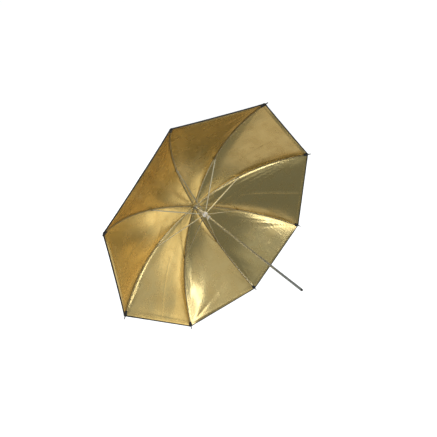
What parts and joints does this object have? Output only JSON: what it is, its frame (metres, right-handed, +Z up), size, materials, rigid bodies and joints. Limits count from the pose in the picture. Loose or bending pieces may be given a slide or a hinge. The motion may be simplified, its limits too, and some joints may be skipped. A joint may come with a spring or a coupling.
{
  "type": "umbrella reflector",
  "caption": "Octagonal folding light reflector: a gold-lined, black-backed canopy on curved ribs, with a sliding runner on a thin metal shaft.",
  "frame": {"origin": "centre of the shaft tube's free end", "axes": "+Y along the shaft towards the crown, so the gold side faces -Y; +Z up, halfway between two ribs"},
  "size_m": [0.833, 0.594, 0.833],
  "materials": {
    "chromed_steel": "bright chrome plate",
    "plated_wire": "bright nickel plate, lightly brushed",
    "fittings": "zinc-plated steel",
    "black_plastic": "moulded, satin",
    "gold_fabric": "metallised gold cloth, satin",
    "black_fabric": "plain woven nylon"
  },
  "bodies": {
    "root": {"shaft_tube": "chromed_steel", "end_plug": "black_plastic", "crown_hub": "fittings", "crown_ring": "fittings", "crown_pin": "fittings", "cover_washer": "fittings", "ferrule": "black_plastic", "gold_lining": "gold_fabric", "black_cover": "black_fabric"},
    "catch": {"catch_spring": "fittings"},
    "runner": {"runner_sleeve": "chromed_steel", "runner_ring": "fittings"},
    "rib_1": {"rib_inner_1": "plated_wire", "rib_joint_1": "fittings"},
    "rib_end_1": {"rib_outer_1": "plated_wire", "tip_cap_1": "black_plastic"},
    "strut_1": {"stretcher_1": "plated_wire"},
    "rib_2": {"rib_inner_2": "plated_wire", "rib_joint_2": "fittings"},
    "rib_end_2": {"rib_outer_2": "plated_wire", "tip_cap_2": "black_plastic"},
    "strut_2": {"stretcher_2": "plated_wire"},
    "rib_3": {"rib_inner_3": "plated_wire", "rib_joint_3": "fittings"},
    "rib_end_3": {"rib_outer_3": "plated_wire", "tip_cap_3": "black_plastic"},
    "strut_3": {"stretcher_3": "plated_wire"},
    "rib_4": {"rib_inner_4": "plated_wire", "rib_joint_4": "fittings"},
    "rib_end_4": {"rib_outer_4": "plated_wire", "tip_cap_4": "black_plastic"},
    "strut_4": {"stretcher_4": "plated_wire"},
    "rib_5": {"rib_inner_5": "plated_wire", "rib_joint_5": "fittings"},
    "rib_end_5": {"rib_outer_5": "plated_wire", "tip_cap_5": "black_plastic"},
    "strut_5": {"stretcher_5": "plated_wire"},
    "rib_6": {"rib_inner_6": "plated_wire", "rib_joint_6": "fittings"},
    "rib_end_6": {"rib_outer_6": "plated_wire", "tip_cap_6": "black_plastic"},
    "strut_6": {"stretcher_6": "plated_wire"},
    "rib_7": {"rib_inner_7": "plated_wire", "rib_joint_7": "fittings"},
    "rib_end_7": {"rib_outer_7": "plated_wire", "tip_cap_7": "black_plastic"},
    "strut_7": {"stretcher_7": "plated_wire"},
    "rib_8": {"rib_inner_8": "plated_wire", "rib_joint_8": "fittings"},
    "rib_end_8": {"rib_outer_8": "plated_wire", "tip_cap_8": "black_plastic"},
    "strut_8": {"stretcher_8": "plated_wire"}
  },
  "joints": [
    {"name": "fold", "type": "hinge", "parent": "root", "child": "rib_1", "pos_m": [0.00306, 0.556, 0.00739], "axis": [0.9239, 0, -0.3827], "range_deg": [0, 76.39], "deforming": ["gold_lining", "black_cover", "catch_spring"]},
    {"name": "stretcher_turn_1", "type": "hinge", "parent": "rib_1", "child": "strut_1", "pos_m": [0.0789, 0.52244, 0.19048], "axis": [0.9239, 0, -0.3827], "range_deg": [-152.98, 0]},
    {"name": "rib_spring_1", "type": "hinge", "parent": "rib_1", "child": "rib_end_1", "pos_m": [0.08144, 0.52638, 0.19662], "axis": [0.9239, 0, -0.3827], "range_deg": [-26.1, 0]},
    {"name": "rib_turn_2", "type": "hinge", "parent": "root", "child": "rib_2", "pos_m": [0.00739, 0.556, 0.00306], "axis": [0.3827, 0, -0.9239], "range_deg": [0, 76.49]},
    {"name": "stretcher_turn_2", "type": "hinge", "parent": "rib_2", "child": "strut_2", "pos_m": [0.19048, 0.52244, 0.0789], "axis": [0.3827, 0, -0.9239], "range_deg": [-152.98, 0]},
    {"name": "rib_spring_2", "type": "hinge", "parent": "rib_2", "child": "rib_end_2", "pos_m": [0.19662, 0.52638, 0.08144], "axis": [0.3827, 0, -0.9239], "range_deg": [-26.1, 0]},
    {"name": "rib_turn_3", "type": "hinge", "parent": "root", "child": "rib_3", "pos_m": [0.00739, 0.556, -0.00306], "axis": [-0.3827, 0, -0.9239], "range_deg": [0, 76.49]},
    {"name": "stretcher_turn_3", "type": "hinge", "parent": "rib_3", "child": "strut_3", "pos_m": [0.19048, 0.52244, -0.0789], "axis": [-0.3827, 0, -0.9239], "range_deg": [-152.98, 0]},
    {"name": "rib_spring_3", "type": "hinge", "parent": "rib_3", "child": "rib_end_3", "pos_m": [0.19662, 0.52638, -0.08144], "axis": [-0.3827, 0, -0.9239], "range_deg": [-26.1, 0]},
    {"name": "rib_turn_4", "type": "hinge", "parent": "root", "child": "rib_4", "pos_m": [0.00306, 0.556, -0.00739], "axis": [-0.9239, 0, -0.3827], "range_deg": [0, 76.49]},
    {"name": "stretcher_turn_4", "type": "hinge", "parent": "rib_4", "child": "strut_4", "pos_m": [0.0789, 0.52244, -0.19048], "axis": [-0.9239, 0, -0.3827], "range_deg": [-152.98, 0]},
    {"name": "rib_spring_4", "type": "hinge", "parent": "rib_4", "child": "rib_end_4", "pos_m": [0.08144, 0.52638, -0.19662], "axis": [-0.9239, 0, -0.3827], "range_deg": [-26.1, 0]},
    {"name": "rib_turn_5", "type": "hinge", "parent": "root", "child": "rib_5", "pos_m": [-0.00306, 0.556, -0.00739], "axis": [-0.9239, 0, 0.3827], "range_deg": [0, 76.49]},
    {"name": "stretcher_turn_5", "type": "hinge", "parent": "rib_5", "child": "strut_5", "pos_m": [-0.0789, 0.52244, -0.19048], "axis": [-0.9239, 0, 0.3827], "range_deg": [-152.98, 0]},
    {"name": "rib_spring_5", "type": "hinge", "parent": "rib_5", "child": "rib_end_5", "pos_m": [-0.08144, 0.52638, -0.19662], "axis": [-0.9239, 0, 0.3827], "range_deg": [-26.1, 0]},
    {"name": "rib_turn_6", "type": "hinge", "parent": "root", "child": "rib_6", "pos_m": [-0.00739, 0.556, -0.00306], "axis": [-0.3827, 0, 0.9239], "range_deg": [0, 76.49]},
    {"name": "stretcher_turn_6", "type": "hinge", "parent": "rib_6", "child": "strut_6", "pos_m": [-0.19048, 0.52244, -0.0789], "axis": [-0.3827, 0, 0.9239], "range_deg": [-152.98, 0]},
    {"name": "rib_spring_6", "type": "hinge", "parent": "rib_6", "child": "rib_end_6", "pos_m": [-0.19662, 0.52638, -0.08144], "axis": [-0.3827, 0, 0.9239], "range_deg": [-26.1, 0]},
    {"name": "rib_turn_7", "type": "hinge", "parent": "root", "child": "rib_7", "pos_m": [-0.00739, 0.556, 0.00306], "axis": [0.3827, 0, 0.9239], "range_deg": [0, 76.49]},
    {"name": "stretcher_turn_7", "type": "hinge", "parent": "rib_7", "child": "strut_7", "pos_m": [-0.19048, 0.52244, 0.0789], "axis": [0.3827, 0, 0.9239], "range_deg": [-152.98, 0]},
    {"name": "rib_spring_7", "type": "hinge", "parent": "rib_7", "child": "rib_end_7", "pos_m": [-0.19662, 0.52638, 0.08144], "axis": [0.3827, 0, 0.9239], "range_deg": [-26.1, 0]},
    {"name": "rib_turn_8", "type": "hinge", "parent": "root", "child": "rib_8", "pos_m": [-0.00306, 0.556, 0.00739], "axis": [0.9239, 0, 0.3827], "range_deg": [0, 76.49]},
    {"name": "stretcher_turn_8", "type": "hinge", "parent": "rib_8", "child": "strut_8", "pos_m": [-0.0789, 0.52244, 0.19048], "axis": [0.9239, 0, 0.3827], "range_deg": [-152.98, 0]},
    {"name": "rib_spring_8", "type": "hinge", "parent": "rib_8", "child": "rib_end_8", "pos_m": [-0.08144, 0.52638, 0.19662], "axis": [0.9239, 0, 0.3827], "range_deg": [-26.1, 0]},
    {"name": "runner_turn", "type": "hinge", "parent": "strut_1", "child": "runner", "pos_m": [0.00306, 0.48888, 0.00739], "axis": [0.9239, 0, -0.3827], "range_deg": [0, 76.49]},
    {"name": "catch_press", "type": "slide", "parent": "root", "child": "catch", "axis": [0, 0, -1], "range_m": [0, 0.0026], "stiffness_N_per_m": 400}
  ],
  "couplings": [
    {"joint": "stretcher_turn_1", "follows": "fold", "ratio": -2},
    {"joint": "rib_spring_1", "follows": "fold", "ratio": -0.34036},
    {"joint": "rib_turn_2", "follows": "fold", "ratio": 1},
    {"joint": "stretcher_turn_2", "follows": "fold", "ratio": -2},
    {"joint": "rib_spring_2", "follows": "fold", "ratio": -0.34036},
    {"joint": "rib_turn_3", "follows": "fold", "ratio": 1},
    {"joint": "stretcher_turn_3", "follows": "fold", "ratio": -2},
    {"joint": "rib_spring_3", "follows": "fold", "ratio": -0.34036},
    {"joint": "rib_turn_4", "follows": "fold", "ratio": 1},
    {"joint": "stretcher_turn_4", "follows": "fold", "ratio": -2},
    {"joint": "rib_spring_4", "follows": "fold", "ratio": -0.34036},
    {"joint": "rib_turn_5", "follows": "fold", "ratio": 1},
    {"joint": "stretcher_turn_5", "follows": "fold", "ratio": -2},
    {"joint": "rib_spring_5", "follows": "fold", "ratio": -0.34036},
    {"joint": "rib_turn_6", "follows": "fold", "ratio": 1},
    {"joint": "stretcher_turn_6", "follows": "fold", "ratio": -2},
    {"joint": "rib_spring_6", "follows": "fold", "ratio": -0.34036},
    {"joint": "rib_turn_7", "follows": "fold", "ratio": 1},
    {"joint": "stretcher_turn_7", "follows": "fold", "ratio": -2},
    {"joint": "rib_spring_7", "follows": "fold", "ratio": -0.34036},
    {"joint": "rib_turn_8", "follows": "fold", "ratio": 1},
    {"joint": "stretcher_turn_8", "follows": "fold", "ratio": -2},
    {"joint": "rib_spring_8", "follows": "fold", "ratio": -0.34036},
    {"joint": "runner_turn", "follows": "fold", "ratio": 1}
  ]
}
